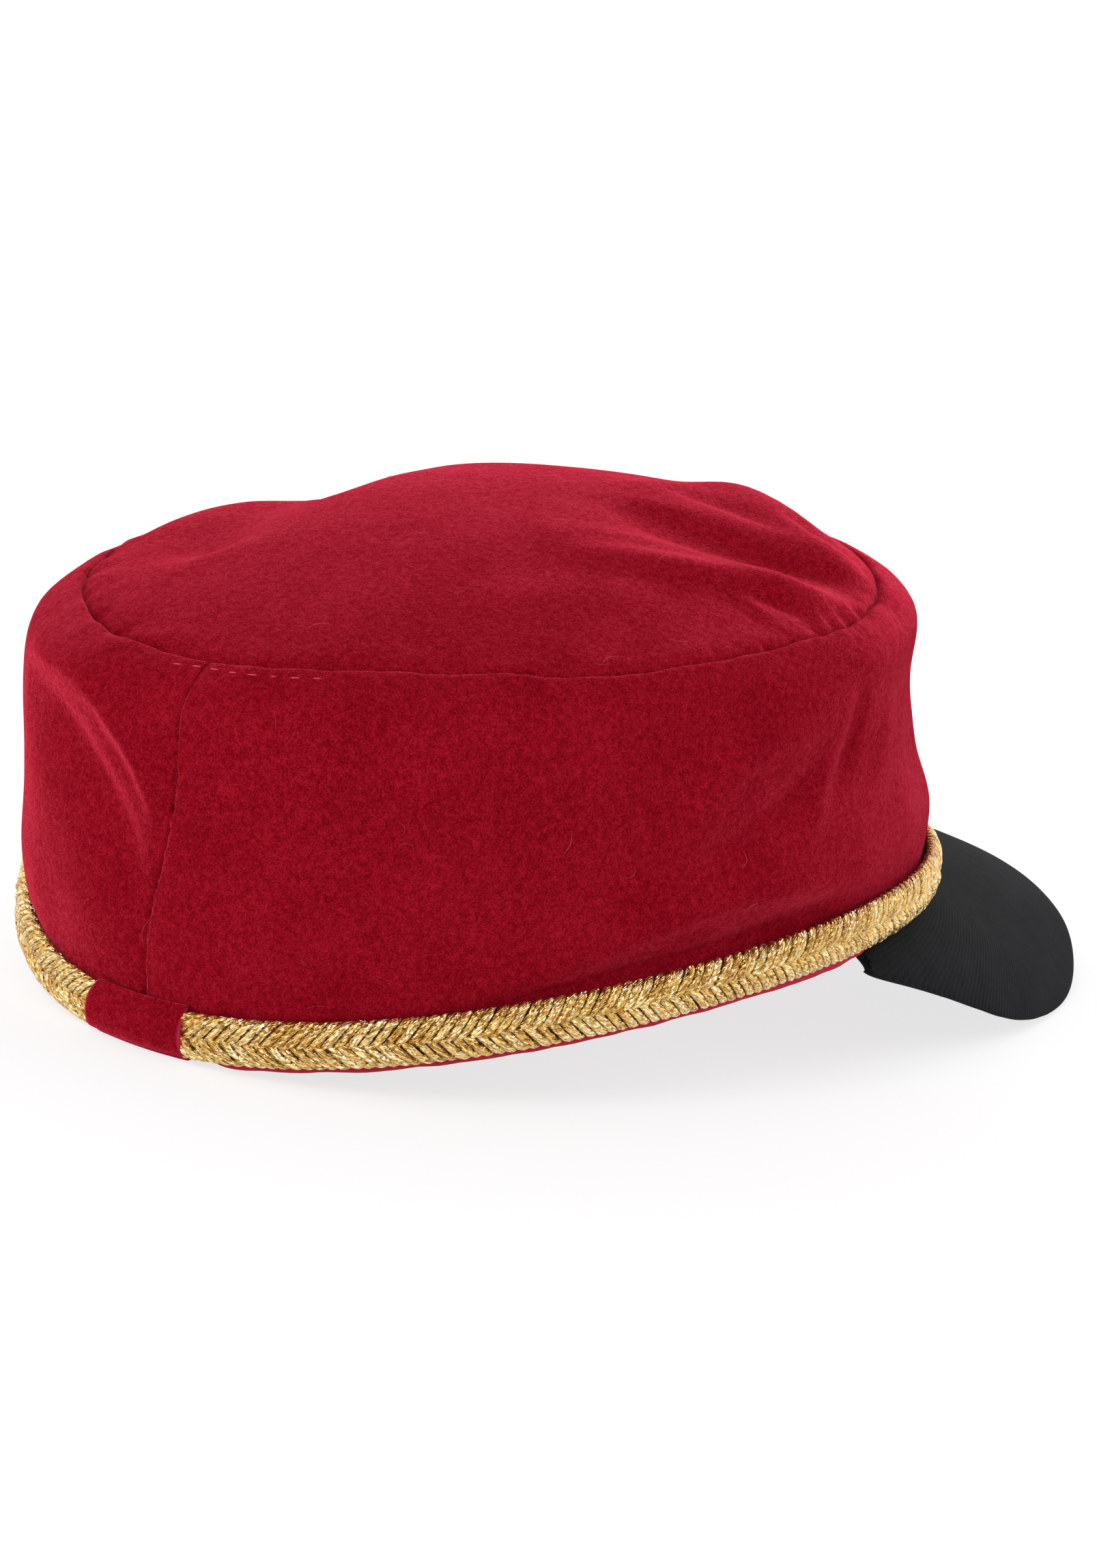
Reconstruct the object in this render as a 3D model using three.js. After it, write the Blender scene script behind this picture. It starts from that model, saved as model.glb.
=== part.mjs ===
// A cadet cap of thick wool felt: a round wall, a soft domed top, a gold braid round the hem, a felt
// tab over the braid's ends at the back, and an arched visor.
// Millimetres, +Z up. The visor points to -Y and the wearer's right hand is on -X.
import * as THREE from "three";
import { mergeVertices } from "three/addons/utils/BufferGeometryUtils.js";

// ---- Driving sizes -----------------------------------------------------------------------------------

const HALF_LENGTH = 100; // hem, from its middle to the front or the back
const HALF_WIDTH = 81.5; // hem, from its middle to either side
const HEM_ARCH = 10; // the hem is this much higher at the sides than at the front and the back
const HEM_TWIST = 1.4; // and two of its diagonals stand this much higher, and the others lower
const FELT = 2; // thickness of the crown's cloth
const CLEARANCE = 0.3; // left between two pieces that are sewn together

const SEAM_GROOVE = 0.9; // how deep the top seam sinks between its two rounded edges
const SEAM_ALLOWANCE = 4.5; // cloth turned down inside along the top seam
const TOP_HEIGHT = 89; // middle of the top above the front of the hem
const TOP_FULLNESS = 2.1; // above 2 the top is flatter in the middle and steeper near its seam

const BRAID_HEIGHT = 9.8;
const BRAID_DEPTH = 3.6;
const BRAID_LIFT = 1.1; // hem showing below the braid

const TAB_WIDTH = 24;
const TAB_TURN = 179; // middle of the tab, nearly over the back seam
const TAB_FELT = 1.4;
const TAB_SQUEEZE = 1.3; // the tab is pulled tight: it presses the braid and the hem by this much
const TAB_SQUEEZE_TURN = 9.5; // as far as this turn to either side
const TAB_EASE_TURN = 3; // and falling to nothing over this much more
const TAB_INSIDE = 5; // end of the tab, turned up inside the hem
const TAB_SLOPE = 0.15; // of its underside, which is level when the cap rests

const VISOR_THICKNESS = 2.6;
const VISOR_FLANGE = 6; // sewn strip of the visor, standing up inside the wall
const VISOR_FLANGE_THICKNESS = 1.4;
const VISOR_TURN = 80; // the visor's corners are this far round the hem, to either side of the front
const VISOR_HALF_WIDTH = 83;
const VISOR_REACH = 162; // front edge, from the hem's middle
const VISOR_SQUARENESS = 2.5; // 2 is an ellipse, more is a squarer front
const VISOR_ARCH = 2.5; // bulge between the hem and the edge, where the visor is deep
const VISOR_DEEP = 60; // from the hem to the edge, and where it is less the bulge is less
const VISOR_EDGE_SHARE = 0.5; // thickness left at the rounded edge

const SEAM_LEAN = 4; // degrees by which the top of the back seam lies further round than its foot
const SEAM_LEAN_START = -2; // and where its foot is, from the middle of the back
const SEAM_LEAN_FOOT = [2, 12]; // heights between which the foot's own lean comes in, behind the braid
const SEAM_LEAN_HEIGHT = 80; // height over which it leans
const SEAM_LEAN_BEND = 2; // 1 is a straight seam, more bends it over near the top
const SEAM_LEAN_REACH = [8, 30]; // degrees to each side that lean with it, fully and in part

const BACK_PRESS = 0.8; // at rest on the ground, the felt at the back is squashed by this much

// ---- Tables ------------------------------------------------------------------------------------------

// The wall every 30 degrees, counted from the front towards the wearer's left. seam is the height of the
// top seam and inset how far it lies inside the hem's oval. The other columns say how far the cloth
// stands out from that oval, going up.
const WALL_SECTIONS = [
  { turn: 0, seam: 67.5, inset: 17, low: 0.5, middle: -2, high: -3.5, shoulder: -5 },
  { turn: 30, seam: 66, inset: 15.5, low: 0.5, middle: -1, high: -2.5, shoulder: -4.5 },
  { turn: 60, seam: 66.5, inset: 12, low: 1, middle: 0, high: -1, shoulder: -3 },
  { turn: 90, seam: 68, inset: 9, low: 1.5, middle: 1.5, high: 1, shoulder: -1 },
  { turn: 120, seam: 71.5, inset: 8.5, low: 2, middle: 2.5, high: 3, shoulder: 1 },
  { turn: 150, seam: 73.5, inset: 10.5, low: 1.5, middle: 2, high: 2, shoulder: 0.5 },
  { turn: 180, seam: 75.5, inset: 12.5, low: 1.5, middle: 0.5, high: -0.5, shoulder: -3.5 },
  { turn: 210, seam: 78, inset: 14.5, low: 1, middle: 1, high: 0, shoulder: -3.5 },
  { turn: 240, seam: 77, inset: 10, low: 1, middle: 0.5, high: 0, shoulder: -2.5 },
  { turn: 270, seam: 75, inset: 9.5, low: 1, middle: -1.5, high: -1.5, shoulder: -2.5 },
  { turn: 300, seam: 70.5, inset: 12, low: 1.5, middle: -3, high: -4.5, shoulder: -3.5 },
  { turn: 330, seam: 69, inset: 15, low: 1.5, middle: -2.5, high: -4.5, shoulder: -4.5 },
];

// Soft ridges, and hollows where depth is negative, from one point of the wall to another: the turn in
// degrees and the height in millimetres, and how far the fold spreads to each side.
const WALL_FOLDS = [
  { turn: 148, height: 64, toTurn: 168, toHeight: 61, depth: 1.6, spread: 6 },
  { turn: 168, height: 61, toTurn: 180, toHeight: 46, depth: 2.2, spread: 5 },
  { turn: 152, height: 46, toTurn: 171, toHeight: 42, depth: -2.4, spread: 8 },
  { turn: 168, height: 46, toTurn: 172, toHeight: 22, depth: -1.8, spread: 9 },
  { turn: 300, height: 32, toTurn: 325, toHeight: 32, depth: -1.5, spread: 9 },
  { turn: 240, height: 32, toTurn: 266, toHeight: 42, depth: -1.4, spread: 7 },
];

// The same on the top, from x, y to toX, toY.
const TOP_FOLDS = [
  { x: -18, y: -58, toX: -54, toY: -42, depth: 5.2, spread: 9 },
  { x: -28, y: 12, toX: -58, toY: -18, depth: 2.6, spread: 6 },
  { x: -26, y: -18, toX: -56, toY: -34, depth: -2.6, spread: 6.5 },
  { x: -12, y: -36, toX: -48, toY: -42, depth: 2, spread: 5 },
  { x: -54, y: -4, toX: -62, toY: 2, depth: -1.6, spread: 5 },
  { x: 52, y: -22, toX: 38, toY: 40, depth: -5, spread: 11 },
  { x: 68, y: 0, toX: 63, toY: 30, depth: 3.6, spread: 7 },
];

// How far the visor's edge lies below the front of the hem, going round its own outline from the front.
const VISOR_EDGE = [
  { turn: 0, drop: 23.5 },
  { turn: 30, drop: 28 },
  { turn: 50, drop: 32 },
  { turn: 68, drop: 25 },
  { turn: 80, drop: 11 },
  { turn: 90, drop: -4.5 },
];

const STEP = 5; // degrees between two sections of the crown and the braid

// ---- Helpers -----------------------------------------------------------------------------------------

const radians = THREE.MathUtils.degToRad;

// Smooth curve through four even values, at t from the second to the third.
function smooth(t, a, b, c, d) {
  const slopeB = (c - a) / 2;
  const slopeC = (d - b) / 2;
  return (
    b + t * (slopeB + t * (3 * (c - b) - 2 * slopeB - slopeC + t * (2 * (b - c) + slopeB + slopeC)))
  );
}

// Reads a column of WALL_SECTIONS at any turn.
function wallAt(column, turn) {
  const count = WALL_SECTIONS.length;
  const place = (THREE.MathUtils.euclideanModulo(turn, 360) * count) / 360;
  const row = Math.floor(place);
  const values = [-1, 0, 1, 2].map((k) => WALL_SECTIONS[(row + k + count) % count][column]);
  return smooth(place - row, ...values);
}

// A point at height z, out from the hem's oval.
function onOval(turn, out, z) {
  const angle = radians(turn);
  return new THREE.Vector3(
    (HALF_WIDTH + out) * Math.sin(angle),
    -(HALF_LENGTH + out) * Math.cos(angle),
    z,
  );
}

// Height of the hem's line, and of the wall's own edge, which the tab pulls up a little.
function hemHeight(turn) {
  const twice = radians(2 * turn);
  return (HEM_ARCH * (1 - Math.cos(twice))) / 2 + HEM_TWIST * Math.sin(twice);
}
const wallHem = (turn) => hemHeight(turn) + TAB_SQUEEZE * underTab(turn);

// The turn of a point of the wall: the cloth beside the back seam leans with it.
function leaning(turn, height) {
  const away = Math.abs(THREE.MathUtils.euclideanModulo(turn, 360) - 180);
  const near = 1 - THREE.MathUtils.smoothstep(away, ...SEAM_LEAN_REACH);
  const rise = THREE.MathUtils.clamp(height / SEAM_LEAN_HEIGHT, 0, 1);
  const foot = SEAM_LEAN_START * THREE.MathUtils.smoothstep(height, ...SEAM_LEAN_FOOT);
  return turn + near * (foot + SEAM_LEAN * rise ** SEAM_LEAN_BEND);
}

// 1 under the tab, falling smoothly to 0 on either side of it.
function underTab(turn) {
  const away = Math.abs(THREE.MathUtils.euclideanModulo(turn, 360) - TAB_TURN);
  return 1 - THREE.MathUtils.smoothstep(away, TAB_SQUEEZE_TURN, TAB_SQUEEZE_TURN + TAB_EASE_TURN);
}

// Height of a fold at a point: a bell curve of the distance to the fold's line.
function foldHeight(point, from, to, fold) {
  const line = new THREE.Line3(from, to);
  const distance = line.closestPointToPoint(point, true, new THREE.Vector3()).distanceTo(point);
  return fold.depth * Math.exp(-((distance / fold.spread) ** 2));
}

const unrolled = (turn, height) =>
  new THREE.Vector3(radians(turn) * ((HALF_LENGTH + HALF_WIDTH) / 2), height, 0);

function wallFolds(turn, height) {
  return WALL_FOLDS.reduce((sum, fold) => {
    const from = unrolled(fold.turn, fold.height);
    const to = unrolled(fold.toTurn, fold.toHeight);
    return sum + foldHeight(unrolled(turn, height), from, to, fold);
  }, 0);
}

function topFolds(x, y) {
  const point = new THREE.Vector3(x, y, 0);
  return TOP_FOLDS.reduce((sum, fold) => {
    const from = new THREE.Vector3(fold.x, fold.y, 0);
    const to = new THREE.Vector3(fold.toX, fold.toY, 0);
    return sum + foldHeight(point, from, to, fold);
  }, 0);
}

// Moves each point of a path in a section plane to its left by amount(point).
function offsetPath(path, amount) {
  return path.map((point, i) => {
    const before = path[Math.max(i - 1, 0)];
    const after = path[Math.min(i + 1, path.length - 1)];
    const along = after.clone().sub(before).normalize();
    return new THREE.Vector2(-along.y, along.x).multiplyScalar(amount(point)).add(point);
  });
}

// One closed surface through loops of points, with a flat cap on the first and the last loop unless the
// loops go round in a ring. Points that fall together, as at a pole, are merged.
function loft(loops, ring) {
  const size = loops[0].length;
  const faces = [];
  const spans = ring ? loops.length : loops.length - 1;
  for (let i = 0; i < spans; i++) {
    const here = i * size;
    const next = ((i + 1) % loops.length) * size;
    for (let j = 0; j < size; j++) {
      const k = (j + 1) % size;
      faces.push([here + j, next + j, next + k], [here + j, next + k, here + k]);
    }
  }
  if (!ring) {
    const last = (loops.length - 1) * size;
    for (const [a, b, c] of capFaces(loops[0])) faces.push([a, b, c]);
    for (const [a, b, c] of capFaces(loops[loops.length - 1])) faces.push([last + c, last + b, last + a]);
  }
  return closedGeometry(loops.flat(), faces);
}

// Triangles over a nearly flat loop, wound the way the loop goes round.
function capFaces(loop) {
  const normal = new THREE.Vector3();
  loop.forEach((p, i) => normal.add(p.clone().cross(loop[(i + 1) % loop.length])));
  const flatten = new THREE.Quaternion().setFromUnitVectors(
    normal.normalize(),
    new THREE.Vector3(0, 0, 1),
  );
  const flat = loop.map((p) => {
    const q = p.clone().applyQuaternion(flatten);
    return new THREE.Vector2(q.x, q.y);
  });
  return THREE.ShapeUtils.triangulateShape(flat, []);
}

function closedGeometry(points, faces) {
  const loose = new THREE.BufferGeometry();
  loose.setAttribute("position", new THREE.Float32BufferAttribute(points.flatMap((p) => p.toArray()), 3));
  loose.setIndex(faces.flat());
  const geometry = mergeVertices(loose, 1e-3);
  const merged = geometry.index.array;
  const kept = [];
  for (let i = 0; i < merged.length; i += 3) {
    const [a, b, c] = merged.slice(i, i + 3);
    if (a !== b && b !== c && c !== a) kept.push(a, b, c);
  }
  geometry.setIndex(signedVolume(geometry, kept) < 0 ? kept.reverse() : kept);
  geometry.computeVertexNormals();
  return geometry;
}

function signedVolume(geometry, index) {
  const [a, b, c] = [new THREE.Vector3(), new THREE.Vector3(), new THREE.Vector3()];
  let volume = 0;
  for (let i = 0; i < index.length; i += 3) {
    a.fromBufferAttribute(geometry.attributes.position, index[i]);
    b.fromBufferAttribute(geometry.attributes.position, index[i + 1]);
    c.fromBufferAttribute(geometry.attributes.position, index[i + 2]);
    volume += a.dot(b.cross(c)) / 6;
  }
  return volume;
}

// ---- Crown -------------------------------------------------------------------------------------------

const WALL_POINTS = 14;
const WALL_HEIGHTS = { low: 0.32, middle: 0.54, high: 0.74 }; // shares of the way from hem to top seam
const SHOULDER_DROP = 5.5; // the shoulder's station is this far below the top seam
const TURN_DROP = 2.2; // and the next one, where the cloth turns in towards the seam
const SEAM_ROUNDING = 1.5; // the cloth rounds over this far from the top seam
const BACK_ROUNDING = [0.9, 2.2]; // sections just beside the back seam, where its edges round over
const BACK_GROOVE = 0.6; // how far those edges sink

// Turns of the sections of a strip that goes round from the back to the back, counted from the back. It
// has sections where the tab's squeeze starts and ends, and further ones just beside its two ends.
function backToBack(end, besideEnds = []) {
  const turns = [end, 360 - end];
  for (let turn = STEP; turn < 360; turn += STEP) turns.push(turn);
  for (const away of [TAB_SQUEEZE_TURN, TAB_SQUEEZE_TURN + TAB_EASE_TURN]) {
    turns.push(TAB_TURN - 180 + away, TAB_TURN + 180 - away);
  }
  for (const turn of besideEnds) turns.push(turn, 360 - turn);
  return turns.sort((a, b) => a - b).map((turn) => 180 + turn);
}

// The turn that spans a width at the back of the hem's oval, or of that oval shrunk by inset.
function turnAcross(width, inset = 0) {
  return THREE.MathUtils.radToDeg(width / (HALF_WIDTH - inset));
}

// Outer face of the wall in its section plane, from the hem up to the top seam.
function wallOutside(turn) {
  const hem = hemHeight(turn);
  const seam = wallAt("seam", turn);
  const inset = wallAt("inset", turn);
  const rise = seam - hem;
  const behindBraid = BRAID_LIFT + BRAID_HEIGHT;
  const shoulder = wallAt("shoulder", turn);
  const stations = [
    [0, wallHem(turn)],
    [0, hem + behindBraid],
    ...Object.entries(WALL_HEIGHTS).map(([name, share]) => [wallAt(name, turn), hem + rise * share]),
    [shoulder, seam - SHOULDER_DROP],
    [(shoulder - inset) / 2, seam - TURN_DROP],
    [SEAM_ROUNDING - inset, seam],
  ].map(([out, z]) => new THREE.Vector2(out, z));
  const path = new THREE.SplineCurve(stations).getSpacedPoints(WALL_POINTS);
  const fromBackSeam = Math.abs(THREE.MathUtils.euclideanModulo(turn, 360) - 180);
  const edge = fromBackSeam < BACK_ROUNDING[0] ? BACK_GROOVE : 0;
  return offsetPath(path, (p) => (p.y > hem + behindBraid ? edge - wallFolds(turn, p.y) : 0));
}

function wallSection(turn) {
  const seam = wallAt("seam", turn);
  const outside = wallOutside(turn);
  const seamFace = CLEARANCE / 2 - wallAt("inset", turn);
  const inside = offsetPath(outside, () => FELT);
  inside.forEach((p) => (p.x = Math.max(p.x, seamFace + FELT)));
  outside.push(new THREE.Vector2(seamFace, seam - SEAM_GROOVE));
  outside.push(new THREE.Vector2(seamFace, seam - SEAM_ALLOWANCE));
  inside.push(new THREE.Vector2(seamFace + FELT, seam - SEAM_ALLOWANCE));
  return [...outside, ...inside.reverse()].map((p) => onOval(leaning(turn, p.y), p.x, p.y));
}

// A strip of felt that starts and ends at the back seam.
function crownWall() {
  const edge = turnAcross(CLEARANCE / 2, wallAt("inset", 180));
  return loft(backToBack(edge, BACK_ROUNDING).map(wallSection), false);
}

const TOP_POINTS = 10;
const FOLD_FADE = 8; // power that keeps the top's folds off its seam

// Height of the top at a share of the way from its middle to its seam.
function topHeight(turn, share) {
  const weight = share ** TOP_FULLNESS;
  const point = onOval(turn, -wallAt("inset", turn), 0);
  const ends = weight * wallAt("seam", turn) + (1 - weight) * TOP_HEIGHT;
  const fade = 1 - share ** FOLD_FADE;
  return ends + fade * topFolds(point.x * share, point.y * share);
}

// The top's felt from the middle out to the seam, then turned down inside as the wall's edge is.
function topSection(turn) {
  const seam = wallAt("seam", turn);
  const direction = onOval(turn, -wallAt("inset", turn), 0);
  const reach = direction.length();
  direction.normalize();
  const outside = [];
  for (let i = 0; i <= TOP_POINTS; i++) {
    const share = (i / TOP_POINTS) * (1 - SEAM_ROUNDING / reach);
    outside.push(new THREE.Vector2(share * reach, topHeight(turn, share)));
  }
  const seamFace = reach - CLEARANCE / 2;
  const inside = offsetPath(outside, () => -FELT);
  inside[0].x = 0;
  inside.forEach((p) => (p.x = Math.min(p.x, seamFace - FELT)));
  outside.push(new THREE.Vector2(seamFace, seam - SEAM_GROOVE));
  outside.push(new THREE.Vector2(seamFace, seam - SEAM_ALLOWANCE));
  inside.push(new THREE.Vector2(seamFace - FELT, seam - SEAM_ALLOWANCE));
  return [...outside, ...inside.reverse()].map((p) =>
    direction.clone().multiplyScalar(p.x).setZ(p.y),
  );
}

function crownTop() {
  const turns = Array.from({ length: 360 / STEP }, (_, i) => i * STEP);
  return loft(turns.map(topSection), true);
}

// ---- Braid and tab -----------------------------------------------------------------------------------

const BRAID_SIDES = 8;
const BRAID_ROUNDNESS = 0.6; // 1 is a half ellipse, less is squarer
const BRAID_INSIDE = CLEARANCE;
const BRAID_OUTSIDE = BRAID_INSIDE + BRAID_DEPTH;

// Flat against the wall and rounded outside, like half a flattened cord.
function braidSection(turn) {
  const squeeze = TAB_SQUEEZE * underTab(turn);
  const bottom = hemHeight(turn) + BRAID_LIFT + squeeze;
  const height = BRAID_HEIGHT - 2 * squeeze;
  const depth = BRAID_DEPTH - squeeze;
  const loop = [];
  for (let i = 0; i <= BRAID_SIDES; i++) {
    const angle = Math.PI * (i / BRAID_SIDES - 0.5);
    const out = BRAID_INSIDE + depth * Math.cos(angle) ** BRAID_ROUNDNESS;
    loop.push(onOval(turn, out, bottom + (height * (1 + Math.sin(angle))) / 2));
  }
  return loop;
}

// The braid's two ends meet behind the tab.
function braid() {
  return loft(backToBack(turnAcross(CLEARANCE)).map(braidSection), false);
}

const TAB_SECTIONS = 8;
const TAB_CORNER = 1.2; // the tab's bends round the braid's two edges

// Felt strip that comes down the wall, over the braid, under the hem and up inside.
function backTab() {
  const loops = [];
  for (let i = 0; i <= TAB_SECTIONS; i++) {
    const turn = TAB_TURN + turnAcross(TAB_WIDTH * (i / TAB_SECTIONS - 0.5), -BRAID_OUTSIDE);
    const hem = wallHem(turn);
    const top = hemHeight(turn) + BRAID_LIFT + BRAID_HEIGHT - TAB_SQUEEZE;
    const face = BRAID_OUTSIDE - TAB_SQUEEZE + CLEARANCE;
    const underside = (out) => [out, hem - CLEARANCE + TAB_SLOPE * out];
    const path = [
      [-FELT - CLEARANCE, hem + TAB_INSIDE],
      underside(-FELT - CLEARANCE),
      underside(face - TAB_CORNER),
      [face, hem + TAB_CORNER],
      [face, top - TAB_CORNER],
      [face - TAB_CORNER, top + CLEARANCE],
      [2 * CLEARANCE, top + CLEARANCE],
    ].map(([out, z]) => new THREE.Vector2(out, z));
    const outer = offsetPath(path, () => -TAB_FELT);
    loops.push([...path, ...outer.reverse()].map((p) => onOval(turn, p.x, p.y)));
  }
  return loft(loops, false);
}

// ---- Visor -------------------------------------------------------------------------------------------

const VISOR_SECTIONS = 40;
const VISOR_POINTS = 7;
const VISOR_CORNER = -onOval(VISOR_TURN, 0, 0).y; // the corners, from the hem's middle

// Drop of the visor's edge at a turn, with level ends in the middle.
function visorDrop(turn) {
  const size = Math.abs(turn);
  const upper = VISOR_EDGE.findIndex((row) => row.turn >= size);
  if (upper < 1) return VISOR_EDGE[0].drop;
  const [a, b] = [VISOR_EDGE[upper - 1], VISOR_EDGE[upper]];
  const slope = (i) => {
    if (i === 0) return 0;
    const left = VISOR_EDGE[i - 1];
    const right = VISOR_EDGE[Math.min(i + 1, VISOR_EDGE.length - 1)];
    return (right.drop - left.drop) / (right.turn - left.turn);
  };
  const span = b.turn - a.turn;
  const t = (size - a.turn) / span;
  const [sa, sb] = [slope(upper - 1) * span, slope(upper) * span];
  return smooth(t, b.drop - 2 * sa, a.drop, b.drop, a.drop + 2 * sb);
}

function visorEdge(turn) {
  const angle = radians(turn);
  const squared = (v) => Math.sign(v) * Math.abs(v) ** (2 / VISOR_SQUARENESS);
  return new THREE.Vector3(
    VISOR_HALF_WIDTH * squared(Math.sin(angle)),
    -VISOR_CORNER - (VISOR_REACH - VISOR_CORNER) * squared(Math.cos(angle)),
    -visorDrop(turn),
  );
}

// A strip against the inside of the wall, a bend under the hem, then the plate out to its rounded edge.
function visorSection(turn) {
  const baseTurn = (turn * VISOR_TURN) / 90;
  const hem = hemHeight(baseTurn);
  const flange = -FELT - CLEARANCE;
  const bend = onOval(baseTurn, CLEARANCE, hem - CLEARANCE);
  const edge = visorEdge(turn);
  const across = edge.clone().sub(bend);
  const along = new THREE.Vector3(across.y, -across.x, 0).normalize();
  const up = across.clone().cross(along).normalize();
  if (up.z < 0) up.negate();
  const plate = [];
  for (let i = 1; i <= VISOR_POINTS; i++) {
    const share = i / VISOR_POINTS;
    const bulge = Math.sin(Math.PI * share) * VISOR_ARCH * Math.min(1, across.length() / VISOR_DEEP);
    plate.push(bend.clone().addScaledVector(across, share).addScaledVector(up, bulge));
  }
  const thickness = (share) =>
    VISOR_THICKNESS * (1 - (1 - VISOR_EDGE_SHARE) * share ** (2 * VISOR_POINTS));
  const under = plate.map((p, i) => p.clone().addScaledVector(up, -thickness((i + 1) / VISOR_POINTS)));
  const inner = flange - VISOR_FLANGE_THICKNESS;
  return [
    onOval(baseTurn, flange, hem + VISOR_FLANGE),
    onOval(baseTurn, flange, hem - CLEARANCE),
    bend,
    ...plate,
    ...under.reverse(),
    onOval(baseTurn, inner, hem - VISOR_THICKNESS),
    onOval(baseTurn, inner, hem + VISOR_FLANGE),
  ];
}

function visor() {
  const turns = Array.from(
    { length: VISOR_SECTIONS + 1 },
    (_, i) => -90 + (180 * i) / VISOR_SECTIONS,
  );
  return loft(turns.map(visorSection), false);
}

// ---- Assembly ----------------------------------------------------------------------------------------

const MATERIALS = {
  felt: new THREE.MeshStandardMaterial({ color: 0x8c0a1e, roughness: 0.95, metalness: 0 }),
  braid: new THREE.MeshStandardMaterial({ color: 0xb8924a, roughness: 0.4, metalness: 0.8 }),
  visor: new THREE.MeshStandardMaterial({ color: 0x202224, roughness: 0.9, metalness: 0 }),
};

function piece(name, geometry, material) {
  const mesh = new THREE.Mesh(geometry, material);
  mesh.name = name;
  return mesh;
}

const cap = new THREE.Group();
cap.add(
  piece("crown_wall", crownWall(), MATERIALS.felt),
  piece("crown_top", crownTop(), MATERIALS.felt),
  piece("braid", braid(), MATERIALS.braid),
  piece("back_tab", backTab(), MATERIALS.felt),
  piece("visor", visor(), MATERIALS.visor),
);

// Lowest point of a piece when the cap is tipped back by an angle.
function lowest(mesh, tilt) {
  const turned = new THREE.Matrix4().makeRotationX(-tilt);
  const place = mesh.geometry.attributes.position;
  const point = new THREE.Vector3();
  const low = new THREE.Vector3(0, 0, Infinity);
  for (let i = 0; i < place.count; i++) {
    point.fromBufferAttribute(place, i).applyMatrix4(turned);
    if (point.z < low.z) low.copy(point);
  }
  return low;
}

// The cap rests on the tab at its back and on the two low sides of its visor.
function restingTilt() {
  let tilt = 0;
  for (let round = 0; round < 6; round++) {
    const back = lowest(cap.getObjectByName("back_tab"), tilt);
    const front = lowest(cap.getObjectByName("visor"), tilt);
    tilt += Math.atan((back.z - front.z + BACK_PRESS) / (back.y - front.y));
  }
  return tilt;
}

// Felt that meets the ground is flattened on it.
function flattenOnGround(mesh) {
  const back = mesh.matrixWorld.clone().invert();
  const place = mesh.geometry.attributes.position;
  const point = new THREE.Vector3();
  for (let i = 0; i < place.count; i++) {
    point.fromBufferAttribute(place, i).applyMatrix4(mesh.matrixWorld);
    point.z = Math.max(point.z, 0);
    place.setXYZ(i, ...point.applyMatrix4(back));
  }
}

// The lowest point of the visor stands on the ground, and the origin is under the middle of the cap.
cap.rotation.x = -restingTilt();
cap.updateMatrixWorld(true);
const ground = new THREE.Box3().setFromObject(cap.getObjectByName("visor"), true).min.z;
const middle = new THREE.Box3().setFromObject(cap, true).getCenter(new THREE.Vector3());
cap.position.set(0, -middle.y, -ground);
cap.updateMatrixWorld(true);
for (const mesh of cap.children) {
  if (mesh.material === MATERIALS.felt) flattenOnGround(mesh);
}

const root = new THREE.Group();
root.add(cap);
export default root;
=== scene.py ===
# %% [markdown]
# # A cadet cap of wool felt
# A round wall and a soft domed top of thick crimson felt, with a gold braid round the hem, a felt tab
# over the braid at the back, and an arched black visor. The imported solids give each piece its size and
# place, and this script its cloth, thread, nap and seams. The visor points to -Y, and +Z is up.

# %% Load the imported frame
import math

import bmesh
import bpy
import numpy as np
from mathutils import Matrix, Vector, kdtree, noise


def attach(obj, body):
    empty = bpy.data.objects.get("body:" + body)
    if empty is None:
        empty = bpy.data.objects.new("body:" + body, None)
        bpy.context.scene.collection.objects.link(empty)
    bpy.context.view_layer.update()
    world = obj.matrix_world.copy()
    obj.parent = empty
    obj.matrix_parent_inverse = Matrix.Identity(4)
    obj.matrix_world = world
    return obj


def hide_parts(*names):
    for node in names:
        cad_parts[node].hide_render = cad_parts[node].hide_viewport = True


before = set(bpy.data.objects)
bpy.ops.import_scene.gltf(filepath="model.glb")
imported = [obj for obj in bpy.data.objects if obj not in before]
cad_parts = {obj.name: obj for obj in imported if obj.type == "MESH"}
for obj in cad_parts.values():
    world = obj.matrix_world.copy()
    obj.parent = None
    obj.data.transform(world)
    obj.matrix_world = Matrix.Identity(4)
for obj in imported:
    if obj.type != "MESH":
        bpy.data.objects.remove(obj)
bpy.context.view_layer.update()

MM = 0.001
print("solids:", ", ".join(sorted(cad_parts)))

# %% [markdown]
# ## The camera
# The cap is seen from behind its right side, a little above the table, with a long lens, so that its far
# side hardly shrinks. A camera could be aimed by eye, but angles round a point are easier to change.

# %% Camera
CAMERA_ANGLES = 215.5, 12.16  # azimuth, where 0 looks along +Y and 90 along -X, and elevation, in degrees
CAMERA_ROLL = math.radians(7.79)
CAMERA_DISTANCE = 1100 * MM
CAMERA_LENS = 127.4  # millimetres
CAMERA_TARGET = Vector((-14.8, 32.7, 46.5)) * MM


def add_object(name, data):
    made = bpy.data.objects.new(name, data)
    bpy.context.scene.collection.objects.link(made)
    return made


def new_mesh(name, points, faces, edges=()):
    mesh = bpy.data.meshes.new(name)
    mesh.from_pydata(points, edges, faces)
    return mesh


def way_to(azimuth, elevation):
    """The way from the cap to a camera or a lamp at these angles."""
    a, e = math.radians(azimuth), math.radians(elevation)
    return Vector((math.sin(a) * math.cos(e), -math.cos(a) * math.cos(e), math.sin(e)))


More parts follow.
